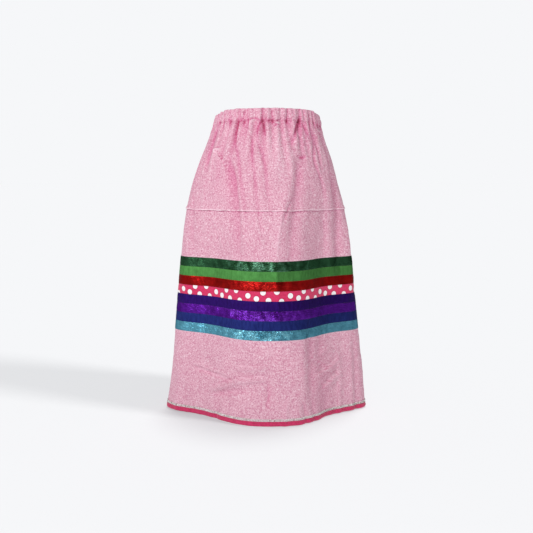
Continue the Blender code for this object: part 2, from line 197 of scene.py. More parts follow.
CREASES = (
    # in the casing: creases running to the stitch line, then splitting below it
    down(-1.6, 2.2, 2.4, (-69, -8), (-67, 10), (-66, 26)),
    down(-0.9, 2, 2, (-52, -8), (-50, 10), (-49, 26)),
    down(-1.6, 2.2, 2.6, (-44, -8), (-42, 20), (-39, 48)),
    down(-1.2, 2, 2, (-37.5, -8), (-36, 10), (-34.8, 24)),
    down(-1.8, 2.4, 2, (-31, -8), (-30, 10), (-27.8, 32)),
    down(-1.6, 1.8, 2, (-24, 2), (-25.5, 16), (-28, 32)),
    down(-1.5, 2, 2, (-22, -10), (-21, 14), (-20.5, 36)),
    down(-0.8, 2, 2, (-16, -10), (-16, 4), (-16, 16)),
    down(-1.8, 2.6, 2, (-6.4, -10), (-5.4, 12), (-5, 34)),
    down(-1.7, 2, 3, (-5.2, 24), (-8.5, 44), (-9, 66)),
    down(-1.6, 2, 2.6, (-4.8, 24), (-2.2, 50), (-1, 66)),
    down(-1.3, 1.8, 2, (3.8, 0), (4.6, 14), (5.6, 30)),
    down(-0.9, 1.8, 1.8, (8.8, -10), (9, 4), (9, 15)),
    down(-1.6, 2, 2.2, (21.4, -10), (20.8, 14), (20, 40)),
    down(-0.9, 2, 2, (27.8, -10), (27.5, 8), (27, 22)),
    down(-2, 2.4, 2.4, (35.2, -12), (36.5, 10), (35.2, 34)),
    down(-1.8, 2.2, 3, (35.4, 22), (29.2, 44), (26.5, 64)),
    down(-2.2, 3, 5, (36.2, 22), (41, 43), (43.5, 60), (45, 86)),
    down(-1.4, 2, 2, (40, -8), (41, 8), (42, 22)),
    down(-1.2, 1.8, 2, (46.5, -6), (48, 10), (49.5, 28)),
    down(-1.5, 2, 2, (55, -4), (55.4, 14), (56.4, 34)),
    down(-1.2, 2, 2, (61, 2), (62, 16), (61, 32)),
    down(-1.4, 2.4, 2.4, (75, -8), (76, 12), (75, 34)),
    across(-1.3, 1.7, 1.7, (-19, 28), (-15.5, 24), (-13, 22.5), (-10, 24.5), (-6.5, 29)),
    across(0.7, 2.6, 2.6, (-18, 32), (-13, 27.5), (-8, 32)),
    across(-1.4, 1.8, 1.8, (2.5, 22), (5.5, 28.5), (8, 30.5), (10.5, 28), (13.5, 21)),
    across(-1.7, 2.6, 2.6, (3, 29), (6, 35), (10, 40), (15, 44.5)),
    across(0.9, 2.6, 2.6, (6, 30), (11, 34), (16, 38)),
    across(-1.6, 2.2, 2.2, (59, 47), (64, 51), (69, 47)),
    across(1.8, 3, 3, (60, 41), (64, 44), (68, 41)),
    # the same on the sides and the back
    down(-1.5, 2.2, 2.4, (88, -8), (89, 12), (90, 36)),
    down(-1.3, 2, 2, (103, -8), (102, 10), (103, 28)),
    down(-1.8, 2.2, 2.4, (115, -10), (117, 12), (119, 36)),
    down(-1.5, 2, 2.2, (127, -8), (125, 10), (122, 36)),
    down(-1.2, 2, 2, (140, -8), (141, 8), (140, 24)),
    down(-1.9, 2.2, 2.6, (148, -10), (150, 12), (152, 40)),
    down(-1.1, 2, 2, (158, -8), (158, 10), (157, 30)),
    down(-1.3, 1.8, 2, (168, -8), (169, 8), (170, 26)),
    down(-1.8, 2.4, 2.4, (180, -10), (179, 12), (177, 38)),
    down(-1.2, 2, 2, (190, -8), (189, 12), (190, 30)),
    down(-1.8, 2.2, 2.4, (199, -8), (201, 10), (203, 38)),
    down(-1.6, 2, 2.2, (208, -6), (206, 10), (204, 38)),
    down(-1.2, 2, 2, (218, -8), (218, 10), (219, 26)),
    down(-1.8, 2.2, 2.6, (230, -8), (230, 12), (231, 40)),
    down(-1.3, 2, 2, (243, -8), (244, 10), (246, 30)),
    down(-1.5, 2.2, 2.4, (258, -8), (259, 10), (259, 34)),
    across(-1.3, 1.8, 1.8, (158, 28), (162, 23), (166, 29)),
    across(-1.3, 1.8, 1.8, (184, 23), (187, 30), (192, 24)),
    across(-1.3, 1.8, 1.8, (208, 30), (212, 24), (217, 29)),
    # below the gathers, front
    down(-1.7, 3.6, 6, (-29, 28), (-31, 50), (-22.5, 121), (-15.2, 212), (-12.5, 300), tint=1.1),
    down(-1.6, 3.4, 6, (-24, 34), (-19.2, 47), (-10.2, 121), (-5.8, 212), (-1.2, 340), tint=1.1),
    down(-1.4, 3.4, 6, (-9.5, 34), (-9.8, 47), (-1.2, 121), (2, 194), (3, 250)),
    down(-3.2, 4, 9, (-61, 25), (-63, 60), (-62, 95), (-58, 150)),
    down(-1.6, 3.4, 6, (37, 28), (41.2, 34), (46, 120), (52.2, 170), (54.5, 240), tint=1.1),
    down(-2.4, 3, 6, (35, 30), (30, 48), (26, 66), (22, 95)),
    down(-1.3, 5, 12, (-45, 40), (-44, 90), (-41, 160), (-40, 222)),
    down(1.4, 5, 12, (10, 40), (9, 80), (8, 140), (6, 200)),
    down(-1.2, 3.2, 5, (50.5, 34), (51.8, 46), (53.2, 104), (54, 160)),
    down(-5, 12, 18, (-38, 90), (-26.2, 145), (-21.8, 206), (-19.5, 273), (-19.2, 360), shape="ramp"),
    down(-3.2, 14, 20, (31, 64), (28.2, 80), (25.5, 128), (21, 195), (17, 244), (14, 326), (14, 420),
         shape="roll", tint=0.8),
    down(-3.8, 13, 18, (68, 120), (68, 146), (66, 208), (64, 336), (64, 450), shape="roll", tint=0.7),
    down(1.8, 8, 10, (54, 120), (56, 160), (56, 208), (55, 336), (55, 450), tint=0.4),
    down(1.4, 5, 7, (-57, 160), (-57, 208), (-54, 270), (-53, 345)),
    down(-1.6, 6, 8, (-72, 170), (-69, 260), (-65, 345)),
    down(-1.6, 5, 10, (70, 36), (70, 90), (68, 150), (67, 205)),
    # two small bent creases high on the left, and a dimple high on the right
    across(2, 3.2, 3.2, (-56, 94), (-48, 88), (-42, 94), shape="roll"),
    down(-2.4, 3.4, 5, (-51, 90), (-45, 104), (-38, 122), (-32, 144), shape="roll"),
    across(-2, 3.4, 3.4, (27, 107), (32.5, 110), (38, 106)),
    # the long fold down the middle of the front
    down(3.8, 12, 15, (19, 150), (14, 200), (10.5, 245), (7.5, 300), (6.2, 345), (7.2, 430), (8.8, 510),
         (10, 545), shape="sharp"),
    down(1.4, 4, 4, (-7, 226), (-6, 262), (-3, 300), (-1, 336), shape="roll"),
    down(-2.2, 4, 3, (22, 196), (17, 216), (13.5, 238), (11.5, 262)),
    down(1.2, 2.6, 2.6, (11, 240), (9, 270), (7.6, 300), (6.4, 340)),
    # lower panel above the ribbons
    down(1.5, 4.5, 6, (-53, 236), (-45, 258), (-39, 292), (-36, 330), shape="roll"),
    down(-1.4, 7, 9, (50, 238), (53, 280), (52, 320), (52, 344)),
    # below the ribbons, left and middle
    across(3.2, 7, 6, (-42, 651), (-35, 643), (-27, 632), (-18, 618), (-10, 611), (4, 605), shape="roll",
           tint=0.8),
    across(-2.6, 7, 6, (-40, 666), (-26, 650), (-16, 640), (-8, 636), tint=0.9),
    across(-2.6, 6, 6, (-62, 600), (-42, 610), (-28, 614), (-16, 624), shape="roll", tint=0.7),
    across(2.2, 6, 6, (-22, 590), (-9, 584), (3, 579), shape="roll", tint=0.6),
    down(-2.2, 3.6, 4, (0, 612), (0.8, 640), (0.2, 665), (0.6, 690)),
    down(1.6, 9, 12, (-72, 600), (-70, 640), (-68, 716)),
    # below the ribbons, right
    across(-2.4, 6, 6, (27, 566), (36, 583), (44, 597), shape="roll", tint=0.7),
    across(2.8, 6, 6, (29, 612), (40, 606), (48, 599), (59, 584), shape="roll", tint=0.8),
    across(2.2, 6, 6, (34, 571), (46, 560), (57, 572), tint=0.6),
    across(2.8, 6, 6, (36, 648), (46, 634), (53, 624), (62, 618), shape="roll", tint=0.8),
    down(2, 7, 9, (57, 530), (57, 580), (56.5, 640), (54, 716)),
    down(-1.8, 9, 12, (73, 520), (72.8, 571), (70.5, 656), (69.5, 716), shape="roll", tint=0.6),
    down(-3, 16, 23, (25.5, 480), (25.5, 523), (24.5, 596), (24.5, 700), shape="roll", tint=0.8),
    down(-2.6, 20, 24, (38, 470), (38, 560), (39, 640), (40, 716), tint=1.2),
    down(1.6, 4, 6, (12.5, 648), (10.5, 690), (10, 716), tint=0.8),
    down(-1.7, 4, 6, (20, 660), (22, 695), (23, 716), tint=0.8),
    down(1.6, 9, 12, (16, 640), (17, 670), (18, 716)),
    down(-1.6, 6, 8, (27, 660), (28, 690), (29, 716)),
    down(-1.8, 7, 9, (-31, 660), (-32, 690), (-33, 716)),
    # back
    down(-2.6, 4, 11, (150, 30), (152, 80), (154, 140), (152, 200)),
    down(-2, 4, 10, (121, 30), (119, 70), (116, 120), (117, 180), shape="roll"),
    down(-1.8, 4, 9, (177, 30), (176, 80), (174, 130), (175, 190)),
    down(2.2, 4, 12, (203, 28), (206, 70), (207, 130), (206, 215), shape="roll"),
    down(-2.4, 4, 9, (231, 28), (229, 70), (230, 120), (233, 180)),
    down(-2, 4, 9, (259, 30), (261, 80), (262, 150)),
    down(-3, 12, 19, (152, 90), (158, 150), (161, 215), (162, 290), (162, 370), shape="ramp", tint=0.5),
    down(-2.8, 14, 22, (200, 60), (198, 130), (194, 210), (191, 300), (190, 420), shape="roll", tint=0.6),
    down(-2, 3.4, 5, (164, 32), (167, 120), (170, 210), (172, 300), tint=1.6),
    down(-2, 3.4, 6, (216, 32), (219, 110), (222, 200), (223, 260), tint=1.5),
    down(-2.6, 9, 14, (243, 110), (242, 200), (240, 330), (240, 440), shape="roll", tint=0.5),
    down(3.4, 12, 16, (188, 140), (184, 220), (179, 320), (177, 430), (178, 540), shape="sharp"),
    down(1.8, 9, 14, (222, 240), (225, 330), (224, 430), (226, 540)),
    down(2, 9, 14, (132, 240), (133, 330), (134, 420), (133, 560)),
    across(1.7, 7, 7, (158, 600), (166, 609), (174, 612), (184, 603), shape="roll", tint=0.6),
    across(-1.6, 7, 7, (204, 642), (214, 632), (224, 630), shape="roll", tint=0.6),
    across(1.6, 7, 7, (222, 566), (230, 580), (238, 600), shape="roll", tint=0.6),
    down(2.4, 7, 9, (112, 540), (113, 620), (113, 716)),
    down(2.4, 7, 10, (250, 550), (249, 630), (247, 716)),
    down(-2.4, 6, 9, (262, 560), (262, 640), (262, 716)),
    down(1.8, 8, 11, (190, 640), (191, 680), (192, 716)),
    # round the side seams
    down(-2.2, 5, 10, (96, 40), (100, 120), (99, 210)),
    down(1.6, 8, 10, (84, 250), (82, 330), (80, 420)),
    down(-1.8, 5, 9, (-84, 60), (-80, 140), (-80, 220)),
)


# ---- the form ----
def smooth(x):
    """0 to 1 with no corner at either end."""
    x = np.clip(x, 0.0, 1.0)
    return x * x * (3.0 - 2.0 * x)


def curve(at, values, x, slope=None):
    """A smooth curve through values given at rising places."""
    at = np.asarray(at, float)
    values = np.asarray(values, float)
    if slope is None:
        slope = np.gradient(values, at)
    x = np.clip(x, at[0], at[-1])
    i = np.clip(np.searchsorted(at, x) - 1, 0, len(at) - 2)
    span = at[i + 1] - at[i]
    u = (x - at[i]) / span
    line = values[i] + smooth(u) * (values[i + 1] - values[i])
    return line + u * (1.0 - u) * span * ((1.0 - u) * slope[i] - u * slope[i + 1])


SECTION_DROPS = np.array([row.drop for row in SECTIONS])
SECTION_VALUES = {name: np.array([getattr(row, name) for row in SECTIONS]) for name in Section._fields[1:]}
SECTION_SLOPES = {name: np.gradient(values, SECTION_DROPS) for name, values in SECTION_VALUES.items()}


def section(name, drop):
    """A size of the outline at a drop."""
    return curve(SECTION_DROPS, SECTION_VALUES[name], drop, SECTION_SLOPES[name])


def turn(angle, centre):
    """How far an angle is round from a centre, the short way."""
    return (angle - centre + 180.0) % 360.0 - 180.0


def bell(angle, centre, half_angle):
    """1 at the centre, smoothly down to 0 at the half angle."""
    return np.cos(np.clip(turn(angle, centre) / half_angle, -1.0, 1.0) * np.pi / 2.0) ** 2


def outline(angle, drop):
    """Points of the plain section at a drop, without folds."""
    t = np.radians(angle)
    depth = np.where(np.cos(t) > 0.0, section("front", drop), section("back", drop))
    flat = np.abs(np.cos(t)) ** section("exponent", drop)
    x = section("half_width", drop) * np.sin(t) + section("shift", drop)
    y = -np.sign(np.cos(t)) * depth * flat
    dip = SIDE_DIP * np.sin(t) ** 8 * (1.0 - smooth(drop / SIDE_DIP_FADE))
    return np.stack(np.broadcast_arrays(x, y, TOP - drop - dip), axis=-1)


STEP_ANGLE = 1.5            # how far apart slopes are taken, in degrees round and metres down
STEP_DROP = 0.004


def unit(v):
    return v / np.maximum(np.linalg.norm(v, axis=-1, keepdims=True), 1e-12)


def form(angle, drop):
    """The cloth's outer face as the solids have it, but smooth and without their coarse gathers."""
    along = outline(angle + STEP_ANGLE, drop) - outline(angle - STEP_ANGLE, drop)
    square = unit(np.stack([along[..., 1], -along[..., 0], np.zeros_like(along[..., 0])], axis=-1))
    out = np.zeros(np.broadcast(angle, drop).shape)
    for fold in FOLDS:
        grown = smooth((drop - fold.starts) / (fold.full - fold.starts))
        out = out + fold.depth * grown * bell(angle, fold.angle, fold.half_angle)
    return outline(angle, drop) + square * out[..., None]


def face_out(angle, drop):
    """Unit vectors square to the form."""
    round_it = form(angle + STEP_ANGLE, drop) - form(angle - STEP_ANGLE, drop)
    down_it = form(angle, drop + STEP_DROP) - form(angle, drop - STEP_DROP)
    return unit(np.cross(down_it, round_it))


TABLE_ANGLES = np.linspace(-95.0, 275.0, 741)
TABLE_DROPS = np.linspace(0.0, 0.720, 181)


def arc_table():
    """Length along the cloth from the middle of the front, at each tabled drop and angle."""
    points = form(TABLE_ANGLES[None, :], TABLE_DROPS[:, None])
    steps = np.linalg.norm(np.diff(points, axis=1), axis=-1)
    run = np.concatenate([np.zeros((len(TABLE_DROPS), 1)), np.cumsum(steps, axis=1)], axis=1)
    front = np.searchsorted(TABLE_ANGLES, 0.0)
    return run - run[:, front:front + 1]


ARC = arc_table()


def table_place(value, table):
    """The step of an even table that a value falls in, and how far into it."""
    place = np.clip((value - table[0]) / (table[1] - table[0]), 0.0, len(table) - 1.001)
    step = place.astype(int)
    return step, place - step


def arc(angle, drop):
    """Length along the cloth from the middle of the front at each point, read from the table."""
    angle, drop = np.broadcast_arrays(np.asarray(angle, float), np.asarray(drop, float))
    row, u = table_place(drop, TABLE_DROPS)
    column, v = table_place(angle, TABLE_ANGLES)
    upper = ARC[row, column] * (1.0 - v) + ARC[row, column + 1] * v
    lower = ARC[row + 1, column] * (1.0 - v) + ARC[row + 1, column + 1] * v
    return upper * (1.0 - u) + lower * u


def metres_a_degree(angle, drop):
    """How far the cloth runs round for one degree."""
    return arc(angle + 0.5, drop) - arc(angle - 0.5, drop)


# ---- unevenness ----
RIGHT_SEAM = 90.0
LEFT_SEAM = -90.0           # angles are counted from this side seam, right round to it again
SEAM_FADE = 7.0             # degrees


def waves(angle, drop, y, shortest, longest, seed, count=28):
    """Smooth unevenness about 1 high, along the cloth at a drop and across it with y.

    It is a sum of waves of many lengths and directions, and dies out where the angles start and end.
    """
    draw = np.random.default_rng(seed)
    x = arc(angle, drop)
    total = np.zeros(np.broadcast(x, y).shape)
    for _ in range(count):
        length = shortest * (longest / shortest) ** draw.random()
        way = draw.random() * 2.0 * np.pi
        phase = draw.random() * 2.0 * np.pi
        total = total + np.cos(2.0 * np.pi * (x * np.cos(way) + y * np.sin(way)) / length + phase)
    return smooth(np.abs(turn(angle, LEFT_SEAM)) / SEAM_FADE) * total / np.sqrt(count)


def held_waves(limit, angle, drop, *lengths_and_seed):
    """Unevenness along the cloth alone, held within a limit."""
    return np.clip(waves(angle, drop, 0.0, *lengths_and_seed), -limit, limit)


def hump(off, width):
    """1 in the middle and smoothly away on both sides."""
    return np.exp(-(off / width) ** 2)


# ---- creases, pinches and gathers ----
SHAPES = {
    "soft": lambda u: np.exp(-u * u),
    "sharp": lambda u: np.exp(-1.3 * (np.sqrt(u * u + 0.02) - 0.14)),
    "roll": lambda u: 2.0 * u * np.exp(-u * u) + 0.5 * np.exp(-u * u),
    "ramp": lambda u: smooth((u + 2.2) / 2.2) * (1.0 - smooth(u / 0.8)),
}
CREASE_STRENGTH = 1.5
CREASE_GROWS = 0.25         # share of its length in which a crease grows, and dies away again
CREASE_DIES = 0.35
OPEN_CREASE_GROWS = 0.4     # one that runs on over the hem grows more slowly
OVER_HEM = HEM - 0.005
TONE_WIDTH = 0.0030         # the narrower the fold, the more painted shade deepens its colour or painted highlight pales it
TROUGH_TONE = 120.0         # painted shade in troughs, per metre of depth, however wide
FLAT_LESS = 0.50            # folds in the smooth cloth lower down get this much less painted shade and highlight
FLAT_FROM, FLAT_OVER = 0.150, 0.080


def painted_shade_and_highlight(raised, width):
    """How much painted shade deepens a fold's colour, or painted highlight pales it: narrow ones most, and wide
    troughs a little.
    """
    return raised * TONE_WIDTH / width ** 2 + np.minimum(raised, 0.0) * TROUGH_TONE


def crease_depth(crease, angle, drop):
    """What one crease adds, in metres out from the form, and how much painted shade deepens its colour or
    painted highlight pales it.
    """
    angles = np.array([p[0] for p in crease.points], float)
    drops = np.array([p[1] for p in crease.points], float) * MM
    middle = 180.0 if angles.mean() > RIGHT_SEAM else 0.0
    near = middle + turn(angle, middle)
    if crease.runs == "down":
        centre = curve(drops, angles, drop)
        share = (drop - drops[0]) / (drops[-1] - drops[0])
        off = (near - centre) * metres_a_degree(centre, drop)
    else:
        share = (near - angles[0]) / (angles[-1] - angles[0])
        off = drop - curve(angles, drops, near)
    first, last = crease.widths
    width = (first + (last - first) * np.clip(share, 0.0, 1.0)) * MM
    ends = smooth(share / CREASE_GROWS) * smooth((1.0 - share) / CREASE_DIES)
    if drops[-1] > OVER_HEM:
        ends = smooth(share / OPEN_CREASE_GROWS)
    raised = CREASE_STRENGTH * crease.depth * MM * ends * SHAPES[crease.shape](off / width)
    flat = smooth((drop - FLAT_FROM) / FLAT_OVER)
    return raised, painted_shade_and_highlight(raised, width) * crease.tint * (1.0 - FLAT_LESS * flat)


def small_pinches():
    """The many fine puckers along the casing's stitch line."""
    draw = np.random.default_rng(7)
    made = []
    for i in range(SMALL_PINCHES):
        angle = LEFT_SEAM + (i + 0.5 + draw.uniform(-0.38, 0.38)) * 360.0 / SMALL_PINCHES
        made.append(Pinch(angle, draw.uniform(1.8, 3.4), draw.uniform(0.8, 3.0),
                          draw.uniform(8, 26), draw.uniform(8, 46), draw.uniform(-3, 3)))
    return made


NAMED_SHARE = 0.7           # a named pinch keeps this share of its depth, as creases lie on it too
ALL_PINCHES = [pinch._replace(depth=NAMED_SHARE * pinch.depth) for pinch in PINCHES] + small_pinches()
PINCH_SPREAD = 0.030        # a pinch is twice as wide this far from the stitch line
PINCH_LEAN = 0.060          # and has leaned by its whole lean this far below it
PINCH_LOWEST = 0.20         # a piece that starts below this has no pinches in it
TOP_GATHER = 0.35           # share of a pinch's depth still there at the casing's top edge
STITCH_WANDER = 0.0012
STITCH_GROOVE = 0.0007
STITCH_GROOVE_WIDTH = 0.0018
# painted shade in a pit, and painted highlight on a tuft
PIT_TONE = 1.3


def stitch_line(angle):
    """Drop of the casing's stitching, which wanders up and down between the gathers."""
    return CASING_FOOT + STITCH_WANDER * held_waves(1.5, angle, CASING_FOOT, 0.025, 0.080, 15)


def pinch_depth(angle, drop):
    """What the elastic's gathers take off the form, in metres, and how much painted shade deepens the colour.
    """
    away = drop - stitch_line(angle)
    total = np.zeros(np.broadcast(angle, drop).shape)
    tone = np.zeros(total.shape)
    for pinch in ALL_PINCHES:
        reach = np.where(away < 0.0, pinch.up, pinch.down) * MM
        fade = np.exp(-(away / reach) ** 2 * 0.8) * 0.6 + np.exp(-np.abs(away) / (0.35 * reach)) * 0.4
        fade = np.where(away < 0.0, TOP_GATHER + (1.0 - TOP_GATHER) * fade, fade)
        centre = pinch.angle + pinch.lean * np.clip(away / PINCH_LEAN, -1.0, 1.5)
        width = pinch.width * MM * (1.0 + np.abs(away) / PINCH_SPREAD)
        off = turn(angle, centre) * metres_a_degree(pinch.angle, np.minimum(drop, 0.12))
        raised = pinch.depth * MM * fade * hump(off, width)
        total = total + raised
        tone = tone - painted_shade_and_highlight(-raised, width)
    held = 0.5 + 0.5 * held_waves(1.0, angle, drop, 0.012, 0.040, 14)
    groove = STITCH_GROOVE * held * hump(away, STITCH_GROOVE_WIDTH)
    for pit in PITS:
        off = turn(angle, pit.angle) * metres_a_degree(pit.angle, CASING_FOOT) / (pit.width * MM)
        hollow = np.exp(-off ** 2 - ((drop - pit.drop * MM) / (pit.height * MM)) ** 2)
        total = total + pit.depth * MM * hollow
        tone = tone + PIT_TONE * hollow * np.sign(pit.depth)
    return total + groove, tone


def folds(angle, drop):
    """The creases and the pinches, in metres out from the form, and their painted shade and highlight: -2 deep
    to 1 pale.
    """
    out = np.zeros(np.broadcast(angle, drop).shape)
    tone = np.zeros(out.shape)
    for crease in CREASES:
        raised, tint = crease_depth(crease, angle, drop)
        out = out + raised
        tone = tone + tint
    if np.min(drop) < PINCH_LOWEST:
        taken, tint = pinch_depth(angle, drop)
        out = out - taken
        tone = tone - tint
    return out, tone


FULLNESS = 0.0030           # the gathered cloth stands out between its pinches
FULLEST = 0.035             # most so at this drop, and for this far on both sides
GATHER_HEIGHT = 0.0025
# painted shade in the hollows of the gathers, and painted highlight on their fullness
GATHER_TONE = 0.36
CASING_TONE = 0.35          # share of their painted shade and highlight that folds keep in the casing
COARSE_HEIGHT = 0.00050
FINE_HEIGHT = 0.00018
SIDE_SEAM_DEPTH = 0.0007
SIDE_SEAM_WIDTH = 0.0016
SIDE_METRES_A_DEGREE = 0.0018


def gathers(angle, drop):
    """Soft fullness below the waist, running down the cloth, from -1 to 1."""
    fade = (1.0 - smooth((drop - 0.020) / 0.200)) * (0.55 + 0.45 * smooth((drop - 0.012) / 0.022))
    return fade * waves(angle, CASING_FOOT, drop * 0.10, 0.011, 0.028, 13)


def painted_fold_shading(angle, drop):
    """How much painted shade deepens the folds' colour (down to -2) or painted highlight pales it (up to 1);
    less in the casing's own folds.
    """
    above = np.maximum(stitch_line(angle) - drop, 0.0)
    share = CASING_TONE + (1.0 - CASING_TONE) * hump(above, 0.005)
    return share * (folds(angle, drop)[1] + GATHER_TONE * np.minimum(gathers(angle, drop), 0.4))


def relief(angle, drop):
    """Everything finer than the form, in metres out from it."""
    out = folds(angle, drop)[0]
    out = out + COARSE_HEIGHT * waves(angle, drop, drop, 0.030, 0.110, 11)
    out = out + FINE_HEIGHT * waves(angle, drop, drop, 0.009, 0.028, 12)
    out = out + GATHER_HEIGHT * gathers(angle, drop) + FULLNESS * hump(drop - FULLEST, FULLEST)
    side = np.minimum(np.abs(turn(angle, RIGHT_SEAM)), np.abs(turn(angle, LEFT_SEAM)))
    return out - SIDE_SEAM_DEPTH * hump(side * SIDE_METRES_A_DEGREE, SIDE_SEAM_WIDTH)


# ---- meshes ----
def spaced_angles(first, last, drop, step):
    """Angles from first to last, about a step apart along the cloth at a drop."""
    fine = np.linspace(first, last, 721)
    travelled = arc(fine, drop)
    count = int((travelled[-1] - travelled[0]) / step) + 1
    return np.interp(np.linspace(travelled[0], travelled[-1], count), travelled, fine)


ROUND = (LEFT_SEAM, LEFT_SEAM + 360.0)              # first and last angle of a piece
HALVES = {"front": (LEFT_SEAM, RIGHT_SEAM), "back": (RIGHT_SEAM, RIGHT_SEAM + 180.0)}
SHARP_FROM = np.radians(62.0)


def add_object(name, data):
    made = bpy.data.objects.new(name, data)
    bpy.context.scene.collection.objects.link(made)
    return made


def mesh_object(name, points, faces, finish, cloth, fold=None):
    """A smooth mesh object; cloth is each point's place on the cloth, fold its painted shade and highlight."""
    mesh = bpy.data.meshes.new(name)
    mesh.from_pydata(points.reshape(-1, 3).tolist(), [], [tuple(int(i) for i in f) for f in faces])
    mesh.update()
    mesh.shade_smooth()
    mesh.set_sharp_from_angle(angle=SHARP_FROM)
    mesh.materials.append(finish)
    layer = mesh.attributes.new("cloth", "FLOAT_VECTOR", "POINT")
    layer.data.foreach_set("vector", cloth.reshape(-1).astype(np.float32))
    if fold is not None:
        layer = mesh.attributes.new("fold", "FLOAT", "POINT")
        layer.data.foreach_set("value", fold.reshape(-1).astype(np.float32))
    return add_object(name, mesh)


def ladder(outer, inner, drops):
    """Triangles between two columns of points, given as rows, each running down the cloth."""
    i = j = 0
    made = []
    while i < len(outer) - 1 or j < len(inner) - 1:
        along_inner = i == len(outer) - 1 or (j < len(inner) - 1 and drops[inner[j + 1]] < drops[outer[i + 1]])
        if along_inner:
            made.append((outer[i], inner[j + 1], inner[j]))
            j += 1
        else:
            made.append((outer[i], outer[i + 1], inner[j]))
            i += 1
    return made


SIDE_GAP = 0.00015          # half the hair's breadth between two edges at a side seam
APART = {"front": (-SIDE_GAP, -SIDE_GAP), "back": (SIDE_GAP, SIDE_GAP), "round": (-SIDE_GAP, SIDE_GAP)}


def nothing(around, drops):
    return 0.0


def sweep(name, angles, profile, finish, apart=(0.0, 0.0), more=nothing, tint=nothing, sag=nothing):
    """A closed profile of drops and offsets from the cloth's face, run along the angles.

    apart moves the first and last edge along Y, more adds to the offset, tint to the tone, and sag moves points
    straight down. The profile says which points are inside, and how many of its rows are a wall's outer face.
    """
    drops, offsets, inside, outer_rows = profile
    around = np.asarray(angles, float)[None, :]
    raised = relief(around, drops) + offsets + more(around, drops)
    points = form(around, drops) + face_out(around, drops) * raised[..., None]
    points[..., 2] -= sag(around, drops)
    points[:, 0, 1] += apart[0]
    points[:, -1, 1] += apart[1]
    rows, columns = points.shape[:2]
    cloth = np.stack(np.broadcast_arrays(arc(around, drops), drops, inside), axis=-1)
    r, c = np.meshgrid(np.arange(rows), np.arange(columns - 1), indexing="ij")
    here = r * columns + c
    below = (r + 1) % rows * columns + c
    faces = np.stack([here, below, below + 1, here + 1], axis=-1).reshape(-1, 4).tolist()
    far = columns - 1
    if outer_rows is None:
        faces.append([i * columns for i in range(rows)][::-1])
        faces.append([i * columns + far for i in range(rows)])
        return mesh_object(name, points, faces, finish, cloth)
    for a, b, c in ladder(list(range(outer_rows)), list(range(rows - 1, outer_rows - 1, -1)), drops[:, 0]):
        faces.append((a * columns, c * columns, b * columns))
        faces.append((a * columns + far, b * columns + far, c * columns + far))
    # the fold tone: painted shade and highlight of the folds, with what tint adds along the seam and the
    # ribbons
    tone = painted_fold_shading(around, drops) + tint(around, drops)
    return mesh_object(name, points, faces, finish, cloth, np.clip(tone, -2.0, 1.0))


def as_columns(*lists):
    return [np.asarray(values, float)[:, None] for values in lists]


INNER_EVERY = 3             # the wall's inner face keeps one row in three


def wall(drops, outer, inner, every=INNER_EVERY):
    """A profile down the outer face and back up the inner one."""
    kept = np.unique(np.concatenate([np.arange(0, len(drops), every), [len(drops) - 1]]))[::-1]
    outer = np.broadcast_to(outer, drops.shape)
    inner = np.broadcast_to(inner, drops.shape)
    inside = np.concatenate([np.zeros(len(drops)), np.ones(len(kept))])
    columns = as_columns(np.concatenate([drops, drops[kept]]), np.concatenate([outer, inner[kept]]), inside)
    return columns + [len(drops)]


def rows_between(top, foot, step):
    return np.linspace(top, foot, max(2, int(round((foot - top) / step)) + 1))


# ---- materials: lengths on the cloth are in mm ----
WHITE = (1.0, 1.0, 1.0, 1.0)


def srgb(*values):
    """Linear colour from display values of 0 to 255."""
    v = np.array(values, float) / 255.0
    linear = np.where(v <= 0.04045, v / 12.92, ((v + 0.055) / 1.055) ** 2.4)
    return (*[float(x) for x in linear], 1.0)


def grey(value):
    return (value, value, value, 1.0)


